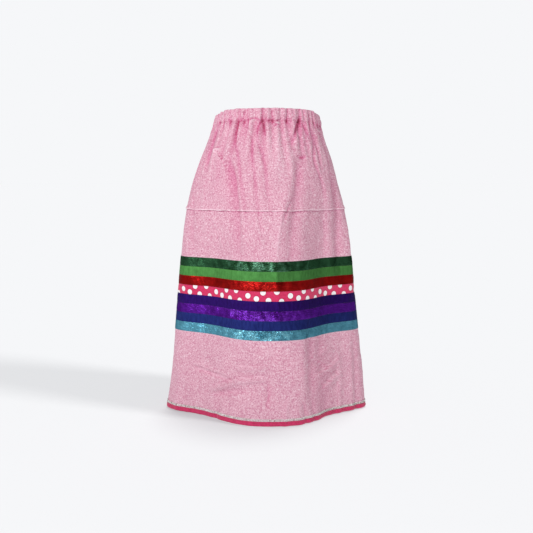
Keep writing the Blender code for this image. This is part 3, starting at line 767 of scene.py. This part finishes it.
class Finish:
    """A Principled material with short ways to add nodes."""

    def __init__(self, name, roughness, specular=0.3, sheen=0.0, metallic=0.0, edge=1.0):
        self.material = bpy.data.materials.new(name)
        self.material.use_nodes = True
        self.tree = self.material.node_tree
        self.shader = self.tree.nodes["Principled BSDF"]
        for socket, value in {
            "Roughness": roughness, "Metallic": metallic, "Specular IOR Level": specular,
            "Specular Tint": grey(edge), "Sheen Weight": sheen, "Sheen Roughness": 0.5,
        }.items():
            self.shader.inputs[socket].default_value = value

    def node(self, kind, **settings):
        made = self.tree.nodes.new("ShaderNode" + kind)
        for name, value in settings.items():
            setattr(made, name, value)
        return made

    def feed(self, socket, value):
        """Sets a socket to a constant, or links it to another."""
        if isinstance(value, (int, float, tuple)):
            socket.default_value = value
        else:
            self.tree.links.new(value, socket)

    def math(self, operation, *values):
        made = self.node("Math", operation=operation)
        for socket, value in zip(made.inputs, values):
            self.feed(socket, value)
        return made.outputs[0]

    def plus(self, a, b):
        return self.math("ADD", a, b)

    def minus(self, a, b):
        return self.math("SUBTRACT", a, b)

    def times(self, a, b):
        return self.math("MULTIPLY", a, b)

    def ripple(self, place, length_mm):
        return self.math("SINE", self.times(place, 2.0 * np.pi / length_mm))

    def repeat_from(self, place, start, length):
        """How far a place is from the nearest of many starts, a length apart."""
        return self.math("WRAP", self.minus(place, start), length / 2.0, -length / 2.0)

    def attribute(self, name, output="Vector"):
        return self.node("Attribute", attribute_name=name).outputs[output]

    def cloth(self, scale_x=1.0, scale_y=1.0):
        """Place on the cloth in mm, scaled; its two faces are far apart in the third direction."""
        scaled = self.node("VectorMath", operation="MULTIPLY")
        self.feed(scaled.inputs[0], self.attribute("cloth"))
        scaled.inputs[1].default_value = (1000.0 * scale_x, 1000.0 * scale_y, 300.0)
        return scaled.outputs[0]

    def noise(self, place, size_mm, detail=2.0, distortion=0.0, roughness=0.5):
        made = self.node("TexNoise", noise_dimensions="3D")
        for socket, value in {
            "Vector": place, "Scale": 1.0 / size_mm, "Detail": detail, "Distortion": distortion,
            "Roughness": roughness,
        }.items():
            self.feed(made.inputs[socket], value)
        return made.outputs["Fac"]

    def ramp(self, value, *stops):
        """stops are (position, colour) pairs."""
        made = self.node("ValToRGB")
        elements = made.color_ramp.elements
        while len(elements) < len(stops):
            elements.new(0.5)
        for element, (position, colour) in zip(elements, stops):
            element.position = position
            element.color = colour
        self.feed(made.inputs["Fac"], value)
        return made.outputs["Color"]

    def ease(self, value, start, end, least=0.0):
        """Smoothly from the least at the start to 1 at the end."""
        made = self.node("MapRange", interpolation_type="SMOOTHSTEP")
        for socket, given in {"Value": value, "From Min": start, "From Max": end, "To Min": least}.items():
            self.feed(made.inputs[socket], given)
        return made.outputs["Result"]

    def mix(self, factor, a, b, blend="MIX"):
        made = self.node("Mix", data_type="RGBA", blend_type=blend)
        for socket, value in {"Factor": factor, "A": a, "B": b}.items():
            self.feed(made.inputs[socket], value)
        return made.outputs["Result"]

    def multiplied(self, a, b):
        return self.mix(1.0, a, b, "MULTIPLY")

    def separate(self, place):
        made = self.node("SeparateXYZ")
        self.feed(made.inputs[0], place)
        return made.outputs

    def bump(self, height, distance, strength=1.0):
        """Adds a bump, in metres, on top of the ones before it."""
        made = self.node("Bump")
        made.inputs["Strength"].default_value = strength
        made.inputs["Distance"].default_value = distance
        self.feed(made.inputs["Height"], height)
        before = self.shader.inputs["Normal"]
        if before.is_linked:
            self.feed(made.inputs["Normal"], before.links[0].from_socket)
        self.feed(before, made.outputs["Normal"])

    def weave(self, thread_mm):
        """The over and under of a plain weave, as bump."""
        x, y, _ = self.separate(self.cloth())
        self.bump(self.times(self.ripple(x, 2.0 * thread_mm), self.ripple(y, 2.0 * thread_mm)), 0.00006, 0.5)

    def colour(self, source):
        self.feed(self.shader.inputs["Base Color"], source)


def cotton():
    """Quilting cotton with a close scrolling print, tone on tone."""
    finish = Finish("pink_cotton", roughness=0.9, specular=0.12, sheen=0.12)
    place = finish.cloth()
    scroll = finish.noise(place, 7.5, detail=1.0, distortion=0.9)
    lines = finish.math("SINE", finish.times(scroll, 30.0))
    fleck = finish.noise(place, 3.5, roughness=0.7)
    printed = finish.ramp(
        finish.plus(finish.times(lines, 0.13), fleck),
        (0.25, srgb(197, 126, 152)),
        (0.50, srgb(219, 162, 181)),
        (0.72, srgb(238, 205, 216)),
    )
    faded = finish.ramp(finish.noise(place, 70.0), (0.3, (0.94, 0.93, 0.94, 1.0)), (0.7, WHITE))
    coloured = finish.multiplied(printed, faded)
    # painted shade deepens the pink in troughs and more in pits; painted highlight pales it on ridges
    fold = finish.attribute("fold", "Fac")
    sunk = finish.times(fold, -1.0)
    trough = finish.math("MINIMUM", finish.math("MAXIMUM", sunk, 0.0), 1.0)
    pit = finish.math("MAXIMUM", finish.minus(sunk, 1.0), 0.0)
    ridge = finish.times(finish.math("MAXIMUM", fold, 0.0), 0.7)
    coloured = finish.mix(trough, coloured, finish.multiplied(coloured, (0.90, 0.58, 0.74, 1.0)))
    coloured = finish.mix(pit, coloured, finish.multiplied(coloured, (0.80, 0.42, 0.56, 1.0)))
    coloured = finish.mix(ridge, coloured, srgb(246, 214, 226))
    wrong_side = finish.separate(finish.attribute("cloth"))[2]
    finish.colour(finish.mix(wrong_side, coloured, finish.mix(0.55, coloured, srgb(233, 188, 204))))
    finish.weave(0.55)
    finish.bump(finish.noise(place, 3.0, detail=3.0), 0.00035, 0.5)
    return finish.material


GLINT_CENTRE_MM = -10.0     # the satins' painted glints, and their crinkles, are strongest round the long fold at the front
GLINT_REACH_MM = 150.0
GLINT_REPEAT_MM = 540.0     # and again round the back's long fold, half way round the skirt
CALM = 0.30                 # share of the satins' unevenness left away from it
MEAN_UNEVEN = 0.45
MEAN_TONE = 0.07
RIBBON_SHADE = 0.64         # a ribbon's colour without its lustre, as a share of its colour with it


def dim(*values):
    return (*[RIBBON_SHADE * channel for channel in srgb(*values)[:3]], 1.0)


def satin(name, deep, bright, glint, crinkle=1.0):
    """Polyester satin ribbon: long floats that catch the light, crinkled by handling and washing."""
    finish = Finish(name, roughness=0.38, specular=0.14, metallic=0.75, edge=0.25)
    streaks = finish.noise(finish.cloth(0.13, 1.0), 1.9, detail=3.0, distortion=0.9, roughness=0.6)
    patches = finish.noise(finish.cloth(0.7, 0.5), 13.0, detail=1.5, distortion=0.8)
    from_fold = finish.repeat_from(finish.separate(finish.cloth())[0], GLINT_CENTRE_MM, GLINT_REPEAT_MM)
    lively = finish.ease(finish.math("ABSOLUTE", from_fold), GLINT_REACH_MM, 0.0, CALM)
    uneven = finish.minus(finish.plus(finish.times(streaks, 0.42), finish.times(patches, 0.62)), MEAN_UNEVEN)
    tone = finish.plus(finish.times(uneven, lively), MEAN_TONE)
    # painted glints: the colour runs from deep through bright to glint, livelier round the long folds
    finish.colour(finish.ramp(tone, (0.0, dim(*deep)), (0.13, dim(*bright)), (0.27, dim(*glint))))
    crinkles = finish.noise(finish.cloth(0.6, 1.0), 8.0, detail=1.0, distortion=1.6)
    ridged = finish.math("ABSOLUTE", finish.minus(crinkles, 0.5))
    finish.bump(finish.times(ridged, lively), 0.0070 * crinkle)
    finish.bump(finish.times(streaks, lively), 0.0010 * crinkle, 0.8)
    return finish.material


def matt_ribbon(name, deep, bright):
    """Woven ribbon with fine ribs across it."""
    finish = Finish(name, roughness=0.55, specular=0.10, metallic=0.40, edge=0.25)
    shade = finish.noise(finish.cloth(1.0, 0.3), 5.0, detail=3.0)
    finish.colour(finish.ramp(shade, (0.3, dim(*deep)), (0.72, dim(*bright))))
    finish.bump(finish.ripple(finish.separate(finish.cloth())[0], 1.1), 0.00010, 0.6)
    finish.bump(finish.noise(finish.cloth(1.0, 0.6), 9.0), 0.0008, 0.5)
    return finish.material


DOT_REPEAT_MM = 97.0
DOT_START_MM = -42.0
DOT_RADIUS_MM = 6.2
DOT_BLUR_MM = 0.35
DOT_RING_MM = 2.4           # the pink is deeper for this far round a dot
FAR_MM = 100.0
Dot = namedtuple("Dot", "along down")   # millimetres along the ribbon, share of its width from the top
DOTS = (
    Dot(0.0, 0.46),
    Dot(20.0, 0.74),
    Dot(35.0, 0.10),
    Dot(47.0, 0.90),
    Dot(65.5, 0.02),
    Dot(76.0, 1.00),
)


def dotted(name):
    """Hot pink ribbon printed with white dots, some of them cut by its edges."""
    finish = Finish(name, roughness=0.55, specular=0.3, sheen=0.2)
    top, foot = ribbon_edges("dotted")
    place = finish.cloth()
    x, y, _ = finish.separate(place)
    nearest = FAR_MM
    for dot in DOTS:
        along = finish.repeat_from(x, DOT_START_MM + dot.along, DOT_REPEAT_MM)
        below = finish.minus(y, (top + dot.down * (foot - top)) / MM)
        away = finish.math("SQRT", finish.plus(finish.times(along, along), finish.times(below, below)))
        nearest = finish.math("MINIMUM", nearest, away)
    pink = finish.ramp(finish.noise(place, 4.0), (0.3, srgb(200, 30, 82)), (0.7, srgb(216, 46, 100)))
    off_ring = finish.ease(nearest, DOT_RADIUS_MM, DOT_RADIUS_MM + DOT_RING_MM)
    off_dot = finish.ease(nearest, DOT_RADIUS_MM - DOT_BLUR_MM, DOT_RADIUS_MM + DOT_BLUR_MM)
    finish.colour(finish.mix(off_dot, srgb(243, 238, 240), finish.mix(off_ring, srgb(180, 16, 66), pink)))
    finish.weave(0.6)
    finish.bump(finish.noise(finish.cloth(1.0, 0.6), 8.0), 0.0008, 0.5)
    return finish.material


def binding_cloth():
    """Raspberry bias tape: the weave lies at 45 degrees, and the stitching puckers it."""
    finish = Finish("hem_binding", roughness=0.6, sheen=0.3)
    place = finish.cloth()
    shade = finish.noise(place, 6.0, detail=3.0)
    finish.colour(finish.ramp(shade, (0.3, srgb(186, 30, 82)), (0.7, srgb(212, 48, 104))))
    x, y, _ = finish.separate(place)
    finish.bump(finish.ripple(finish.plus(x, y), 0.9), 0.00008, 0.5)
    finish.bump(finish.noise(finish.cloth(1.0, 0.35), 4.0), 0.0007, 0.6)
    return finish.material


def metal_thread():
    """Silver thread wound on a cotton core."""
    finish = Finish("metal_thread", roughness=0.25, specular=0.8, metallic=0.35)
    place = finish.cloth()
    shade = finish.noise(place, 2.5)
    finish.colour(finish.ramp(shade, (0.36, srgb(176, 170, 156)), (0.48, srgb(255, 255, 252))))
    x, y, _ = finish.separate(place)
    finish.bump(finish.ripple(finish.plus(x, finish.times(y, 0.6)), 0.7), 0.00012, 0.8)
    return finish.material


def thread(name, *colour):
    """Sewing thread with its twist."""
    finish = Finish(name, roughness=0.6, sheen=0.2)
    place = finish.cloth()
    shade = finish.ramp(finish.noise(place, 1.5), (0.3, grey(0.8)), (0.7, WHITE))
    finish.colour(finish.multiplied(srgb(*colour), shade))
    finish.bump(finish.noise(place, 0.4), 0.00010, 0.5)
    return finish.material


# ---- pieces ----
CLOTH = 0.0006              # how thick a panel's wall is
LAP = 0.007                 # how far the upper panel laps the lower one
RIBBON_LIFT = 0.0005
RIBBON_CLOTH = 0.0004
FINE_ROWS = 0.0016          # steps between rows of points down the cloth, and round it
EDGE_ROWS = 0.0008
WIDE_ROWS = 0.0026
MID_UPPER = 0.15            # drops at which the steps round the cloth are measured
MID_LOWER = 0.45
PIECES = []


def place_piece(piece, slot, *nodes):
    """Rides on the skirt's one body and stands for the nodes; slot is not used."""
    PIECES.append(piece)
    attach(piece, "root")
    if nodes:
        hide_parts(*nodes)


def casing(finish):
    """The folded tunnel on the elastic: round at the top, drawn in at the stitch line."""
    drops = np.concatenate([[0.0, 0.0006, 0.0016, 0.0030], rows_between(0.0048, CASING_FOOT - 0.0001, 0.0015)])
    fullness = np.sqrt(np.clip(drops / 0.0045, 0.0, 1.0))
    puff = 0.0012 * np.sin(np.pi * np.clip(drops / CASING_FOOT, 0.0, 1.0)) ** 0.6
    outer = (fullness * 0.0004 + puff) * (1.0 - smooth((drops - CASING_FOOT + 0.005) / 0.005))
    inner = -0.0004 - fullness * 0.0016

    def top_bumps(around, drop):
        return 0.0005 * np.exp(-drop / 0.010) * waves(around, drop, drop * 0.1, 0.007, 0.016, 21)

    def uneven_top(around, drop):
        return 0.0007 * (1.0 - smooth(drop / 0.012)) * held_waves(1.6, around, drop, 0.008, 0.030, 22)

    angles = spaced_angles(*ROUND, CASING_FOOT, 0.0017)
    profile = wall(drops, outer, inner, 1)
    piece = sweep("waist_casing_cloth", angles, profile, finish, more=top_bumps, sag=uneven_top)
    place_piece(piece, "pink_cotton", "waist_casing")


def seam_sag(angle, drop):
    """The lapped edge isn't quite straight."""
    edge = smooth((drop - SEAM + 0.014) / 0.010)
    return 0.0008 * edge * held_waves(1.6, angle, SEAM, 0.025, 0.110, 34)


def upper_panel(half, finish):
    """Gathered at the top; its lower edge is turned under and laps the lower panel."""
    drops = np.concatenate([
        rows_between(CASING_FOOT, 0.110, FINE_ROWS),
        rows_between(0.112, SEAM - 0.010, WIDE_ROWS)[1:],
        rows_between(SEAM - 0.0085, SEAM + 0.0012, 0.0012),
    ])

    def lapped(around, drop):
        edge = smooth((drop - SEAM + 0.009) / 0.007)
        lift = 0.0020 + 0.0008 * held_waves(1.6, around, drop, 0.030, 0.120, 31)
        return edge * lift - 0.0004 * hump(drop - SEAM + 0.0035, 0.0012)

    # painted highlight along the turned edge of the lap, patchy along the seam
    def lap_edge_highlight(around, drop):
        patchiness = 0.8 + 0.25 * waves(around, drop, 0.0, 0.008, 0.060, 32)
        return patchiness * smooth((drop - SEAM + 0.0022) / 0.0016)

    angles = spaced_angles(*HALVES[half], MID_UPPER, 0.0022)
    profile = wall(drops, 0.0, -CLOTH)
    piece = sweep(f"upper_{half}_cloth", angles, profile, finish, APART[half], lapped, lap_edge_highlight, seam_sag)
    place_piece(piece, "pink_cotton", f"upper_{half}")


def lower_panel(half, finish):
    """From under the lap to inside the hem binding."""
    drops = np.concatenate([
        rows_between(SEAM - LAP, SEAM + 0.006, FINE_ROWS),
        rows_between(SEAM + 0.0085, BAND_TOP - 0.0030, WIDE_ROWS),
        rows_between(BAND_TOP - 0.0022, BAND_TOP + 0.0010, EDGE_ROWS),
        rows_between(BAND_TOP + 0.004, BAND_FOOT - 0.004, 0.0055),
        rows_between(BAND_FOOT - 0.0010, BAND_FOOT + 0.0022, EDGE_ROWS),
        rows_between(BAND_FOOT + 0.0045, HEM - 0.0016, 0.0023),
    ])

    def tucked(around, drop):
        return -0.0010 * (1.0 - smooth((drop - SEAM + 0.001) / 0.0035))

    def pale_band_edges_and_lap_shadow(around, drop):
        """Deeper under the lap, a painted shadow, and paler along both edges of the band of ribbons."""
        patchiness = 0.75 + 0.3 * waves(around, drop, 0.0, 0.006, 0.050, 33)
        by_band = hump(drop - BAND_TOP + 0.0011, 0.0009) + hump(drop - BAND_FOOT - 0.0011, 0.0009)
        return patchiness * (by_band - 0.9 * hump(drop - SEAM - 0.0030, 0.0014))

    angles = spaced_angles(*HALVES[half], MID_LOWER, 0.0027)
    profile = wall(drops, 0.0, -CLOTH)
    piece = sweep(f"lower_{half}_cloth", angles, profile, finish, APART[half], tucked, pale_band_edges_and_lap_shadow)
    place_piece(piece, "pink_cotton", f"lower_{half}")


def ribbon(name, half, finish, seed):
    """One length of ribbon on a panel, its edges held down by stitching."""
    top, foot = ribbon_edges(name)

    def puckered(around, drop):
        between = np.sin(np.pi * np.clip((drop - top) / (foot - top), 0.0, 1.0)) ** 0.5
        return between * (0.00035 + 0.00016 * waves(around, drop, drop * 0.45, 0.008, 0.030, seed))

    angles = spaced_angles(*HALVES[half], MID_LOWER, 0.0030)
    profile = wall(rows_between(top, foot, 0.0025), RIBBON_LIFT + RIBBON_CLOTH, RIBBON_LIFT)
    piece = sweep(f"ribbon_{name}_{half}_cloth", angles, profile, finish, APART[half], puckered)
    place_piece(piece, f"ribbon_{name}", f"ribbon_{name}_{half}")


def on_cloth(angles, drops, offsets):
    """Points on the finished cloth, each with its own drop and offset, and the way out there.

    The relief of a line whose drop changes a little is read between two level lines.
    """
    low, high = float(drops.min()), float(drops.max())
    ends = relief(angles[None, :], np.array([low, high])[:, None])
    share = (drops - low) / max(high - low, 1e-9)
    height = offsets + ends[0] * (1.0 - share) + ends[1] * share
    out = face_out(angles, drops)
    return form(angles, drops) + out * height[:, None], out


Row = namedtuple("Row", "first last drop offset")   # a line of stitching
STITCH_PITCH = 0.0034
STITCH_LENGTH = 0.0026


def rounds(*drops, offset):
    """Lines of stitching on both halves, at each drop."""
    return [Row(first, last, drop, offset) for first, last in HALVES.values() for drop in drops]


def stitches(name, rows, finish, slot, thick=0.00045):
    """Lines of machine stitching, each stitch a little spindle lying on the cloth."""
    points, faces = [], []
    for row in rows:
        angles = spaced_angles(row.first, row.last, row.drop, STITCH_PITCH)[1:-1]
        centre, out = on_cloth(angles, np.full(len(angles), row.drop), row.offset)
        along = unit(np.gradient(centre, axis=0))
        beside = np.cross(out, along)
        ends = along * STITCH_LENGTH * 0.5
        spindle = np.stack([
            centre - ends - out * thick * 0.4, centre + out * thick * 0.6, centre + beside * thick * 0.5,
            centre - out * thick * 0.4, centre - beside * thick * 0.5, centre + ends - out * thick * 0.4,
        ], axis=1)
        index = sum(len(p) for p in points) + 6 * np.arange(len(spindle))[:, None]
        points.append(spindle.reshape(-1, 3))
        for a, b in ((1, 2), (2, 3), (3, 4), (4, 1)):
            faces.append(np.concatenate([index, index + b, index + a], axis=1))
            faces.append(np.concatenate([index + 5, index + a, index + b], axis=1))
    points = np.concatenate(points)
    place_piece(mesh_object(name, points, np.concatenate(faces).tolist(), finish, points), slot)


BINDING_OUT, BINDING_IN = 0.0013, -0.0019           # its two faces, from the cloth's own
BINDING_CLOTH = 0.0007
BindingRow = namedtuple("BindingRow", "below out further")   # how far each face swells, below the tape's top
BINDING_ROWS = (
    BindingRow(0.0, -0.0006, -0.0003),
    BindingRow(0.0008, 0.0, 0.0),
    BindingRow(0.0022, 0.0005, 0.0002),
    BindingRow(0.0034, 0.0, 0.0),
    BindingRow(0.0040, -0.0006, -0.0003),   # its stitching
    BindingRow(0.0046, 0.0001, 0.0),
    BindingRow(0.0060, 0.0007, 0.0002),
    BindingRow(0.0078, 0.0006, 0.0002),
)
BINDING_TURN = ((-0.0012, 0.0), (-0.0004, 0.0006), (0.0, 0.0014))   # round its foot: drop from the hem, inset


def binding(finish):
    """Folded round the raw edge, full and round at the bottom."""
    hollow_foot = HEM - 0.0011
    outer = [(BINDING_TOP + row.below, BINDING_OUT + row.out) for row in BINDING_ROWS]
    inner = [(BINDING_TOP + row.below, BINDING_IN - row.further) for row in BINDING_ROWS]
    turn_out = [(HEM + below, BINDING_OUT - inset) for below, inset in BINDING_TURN]
    turn_in = [(HEM + below, BINDING_IN + inset) for below, inset in BINDING_TURN]
    hollow_drops = (BINDING_TOP, BINDING_TOP + 0.005, hollow_foot)
    hollow = [(drop, BINDING_IN + BINDING_CLOTH) for drop in hollow_drops]
    hollow += [(drop, BINDING_OUT - BINDING_CLOTH) for drop in hollow_drops[::-1]]
    line = outer + turn_out + turn_in[::-1] + inner[::-1] + hollow
    profile = as_columns(*zip(*line), np.zeros(len(line))) + [None]

    def drawn(around, drop):
        return 0.00018 * waves(around, drop, drop * 0.2, 0.006, 0.020, 41)

    angles = spaced_angles(*ROUND, HEM, 0.0030)
    piece = sweep("hem_binding_cloth", angles, profile, finish, APART["round"], drawn)
    place_piece(piece, "hem_binding", "hem_binding")


CHAIN_PERIOD = 0.0092
CHAIN_SWING = 0.0023
CHAIN_STEPS = 10            # points in a period
CORD_RADIUS = 0.00072
CORD_SIDES = 6


def braid(finish):
    """Two metal cords that cross to and fro along the hem, like a chain, with the cotton between them."""
    middle = 0.5 * (BRAID_TOP + BINDING_TOP - 0.0002)
    angles = spaced_angles(ROUND[0] + 0.1, ROUND[1] - 0.1, middle, CHAIN_PERIOD / CHAIN_STEPS)
    run = np.arange(len(angles)) / CHAIN_STEPS
    for i in range(2):
        swing = np.sin(2.0 * np.pi * (run + 0.5 * i))
        over = 0.0011 + 0.00045 * np.cos(4.0 * np.pi * run + np.pi * i)
        spine, out = on_cloth(angles, middle + CHAIN_SWING * swing, over)
        place_piece(cord(f"silver_chain_{i + 1}", spine, out, finish), "silver_braid", "silver_braid")


def cord(name, spine, out, finish):
    """A round cord along a spine, with its ends closed."""
    along = unit(np.gradient(spine, axis=0))
    beside = unit(np.cross(along, out))
    up = np.cross(beside, along)
    turns = np.linspace(0.0, 2.0 * np.pi, CORD_SIDES, endpoint=False)
    ring = beside[:, None, :] * np.cos(turns)[None, :, None] + up[:, None, :] * np.sin(turns)[None, :, None]
    points = spine[:, None, :] + CORD_RADIUS * ring
    last = len(spine) - 1
    i, j = np.meshgrid(np.arange(last), np.arange(CORD_SIDES), indexing="ij")
    here, there, j_after = i * CORD_SIDES, (i + 1) * CORD_SIDES, (j + 1) % CORD_SIDES
    faces = np.stack([there + j, there + j_after, here + j_after, here + j], axis=-1).reshape(-1, 4).tolist()
    faces.append(list(range(CORD_SIDES)))
    faces.append([last * CORD_SIDES + k for k in range(CORD_SIDES)][::-1])
    return mesh_object(name, points, faces, finish, points)


# ---- the skirt ----
# What makes each ribbon's finish, its colours from deep to bright, a satin's last being its painted glint (and
# how crinkled it is), and its thread's.
RIBBON_LOOKS = {
    "dark_green": (satin, ((20, 50, 28), (50, 94, 64), (104, 158, 130), 0.8), (40, 84, 58)),
    "green": (matt_ribbon, ((74, 134, 66), (92, 160, 84)), (70, 128, 62)),
    "red": (satin, ((118, 10, 8), (164, 20, 20), (196, 38, 32), 0.32), (140, 26, 24)),
    "dotted": (dotted, (), (214, 44, 98)),
    "indigo": (matt_ribbon, ((42, 14, 92), (54, 24, 114)), (44, 22, 92)),
    "purple": (satin, ((58, 12, 98), (104, 34, 166), (154, 80, 232)), (92, 34, 142)),
    "blue": (matt_ribbon, ((32, 40, 106), (44, 56, 130)), (34, 44, 104)),
    "teal": (satin, ((66, 128, 150), (104, 176, 200), (142, 216, 234)), (92, 150, 172)),
}
RIBBON_SEED = 50
RIBBON_STITCH_IN = 0.0014   # from a ribbon's edges to its stitching
RIBBON_STITCH_OUT = RIBBON_LIFT + RIBBON_CLOTH + 0.0001

pink = cotton()
casing(pink)
for half in HALVES:
    upper_panel(half, pink)
    lower_panel(half, pink)
for i, name in enumerate(RIBBONS):
    make, colours, thread_colour = RIBBON_LOOKS[name]
    finish = make(f"ribbon_{name}", *colours)
    for j, half in enumerate(HALVES):
        ribbon(name, half, finish, RIBBON_SEED + 2 * i + j)
    top, foot = ribbon_edges(name)
    lines = rounds(top + RIBBON_STITCH_IN, foot - RIBBON_STITCH_IN, offset=RIBBON_STITCH_OUT)
    stitches(f"stitching_{name}", lines, thread(f"thread_{name}", *thread_colour), f"ribbon_{name}")
stitches("stitching_casing", [Row(*ROUND, CASING_FOOT - 0.0012, 0.0004)],
         thread("pink_thread", 226, 150, 178), "pink_cotton")
pale_thread = thread("pale_thread", 246, 208, 222)
stitches("stitching_seam", [Row(*ROUND, SEAM - 0.0026, 0.0019)], pale_thread, "pink_cotton")
stitches("stitching_band", rounds(BAND_TOP - 0.0012, BAND_FOOT + 0.0012, offset=0.0003), pale_thread,
         "pink_cotton", thick=0.0006)
binding(binding_cloth())
stitches("stitching_binding", [Row(*ROUND, BINDING_TOP + 0.0050, 0.0013)],
         thread("binding_thread", 176, 24, 74), "hem_binding")
braid(metal_thread())


# ---- stage, light and camera ----
BACKDROP = srgb(246, 247, 249)
FLOOR_GREY = 0.34           # how much of the light falling on the floor comes back
FLOOR_REACH = 60.0
WORLD_LIGHT = 0.43
SHADOW_SUN = 2.8            # a low light on the floor alone, which throws the long faint shadow
SHADOW_WAY = (-0.80, 0.32, -0.50)
OVERHEAD_SUN = 1.95         # and one from above for the soft dark under the hem
OVERHEAD_WAY = (-0.08, -0.20, -1.0)
LIGHT_DISTANCE = 2.6        # from the middle of the skirt


def floor_share(power, way):
    """Brightness a floor-only sun gives a white floor."""
    return power * -way[2] / np.linalg.norm(way) / np.pi


def collection_of(name, *members):
    made = bpy.data.collections.new(name)
    for member in members:
        made.objects.link(member)
    return made


def floor():
    """One pale sheet that reads as the backdrop, but for the shadow on it."""
    z = TOP - HEM - FLOOR_GAP
    mesh = bpy.data.meshes.new("floor")
    corners = [(x * FLOOR_REACH, y * FLOOR_REACH, z) for x, y in ((-1, -1), (1, -1), (1, 1), (-1, 1))]
    mesh.from_pydata(corners, [], [(0, 1, 2, 3)])
    made = add_object("floor", mesh)
    finish = Finish("floor", roughness=1.0, specular=0.0)
    falling = WORLD_LIGHT + floor_share(SHADOW_SUN, SHADOW_WAY) + floor_share(OVERHEAD_SUN, OVERHEAD_WAY)
    glow = [float(channel - FLOOR_GREY * falling) for channel in BACKDROP[:3]]
    finish.shader.inputs["Base Color"].default_value = grey(FLOOR_GREY)
    finish.shader.inputs["Emission Color"].default_value = (*glow, 1.0)
    finish.shader.inputs["Emission Strength"].default_value = 1.0
    mesh.materials.append(finish.material)
    return made


def world():
    """Even white light all round, seen by the camera as the backdrop."""
    made = bpy.data.worlds.new("studio")
    bpy.context.scene.world = made
    made.use_nodes = True
    tree = made.node_tree
    background = tree.nodes["Background"]
    background.inputs["Color"].default_value = WHITE
    background.inputs["Strength"].default_value = WORLD_LIGHT
    seen = tree.nodes.new("ShaderNodeBackground")
    seen.inputs["Color"].default_value = BACKDROP
    ray = tree.nodes.new("ShaderNodeLightPath")
    choose = tree.nodes.new("ShaderNodeMixShader")
    for source, target in (
        (ray.outputs["Is Camera Ray"], choose.inputs["Fac"]),
        (background.outputs[0], choose.inputs[1]),
        (seen.outputs[0], choose.inputs[2]),
        (choose.outputs[0], tree.nodes["World Output"].inputs["Surface"]),
    ):
        tree.links.new(source, target)


def light(kind, name, way, power, on, softness):
    """A light shining one way onto a collection; softness is a sun's angle or a box's size."""
    data = bpy.data.lights.new(name, kind)
    data.energy = power
    made = add_object(name, data)
    aim = Vector(way).normalized()
    if kind == "SUN":
        data.angle = np.radians(softness)
    else:
        data.shape = "SQUARE"
        data.size = softness
        made.location = Vector((0.0, 0.0, TOP - HEM / 2.0)) - aim * LIGHT_DISTANCE
    made.rotation_euler = aim.to_track_quat("-Z", "Y").to_euler()
    made.light_linking.receiver_collection = on


def camera():
    data = bpy.data.cameras.new("camera")
    data.lens = CAMERA_LENS
    made = add_object("camera", data)
    made.location = (0.0, -CAMERA_DISTANCE, TOP - CAMERA_BELOW_TOP)
    made.rotation_euler = (np.radians(90.0 - CAMERA_PITCH), 0.0, 0.0)
    bpy.context.scene.camera = made


floor_only = collection_of("floor_only", floor())
skirt_only = collection_of("skirt_only", *PIECES)
ribbons = [piece for piece in PIECES if piece.name.startswith("ribbon_") and "dotted" not in piece.name]
ribbons_only = collection_of("ribbons_only", *ribbons)
cotton_only = collection_of("cotton_only", *[piece for piece in PIECES if piece not in ribbons])
world()
light("AREA", "key", (0.50, 0.88, -0.64), 34.5, skirt_only, 0.5)
light("AREA", "fill", (-0.80, 0.70, -0.10), 6.0, cotton_only, 1.2)
light("AREA", "lustre", (0.75, 0.72, -0.40), 38.0, ribbons_only, 0.5)
light("SUN", "shadow", SHADOW_WAY, SHADOW_SUN, floor_only, 11.0)
light("SUN", "overhead", OVERHEAD_WAY, OVERHEAD_SUN, floor_only, 14.0)
camera()
bpy.context.scene.view_settings.view_transform = "Standard"
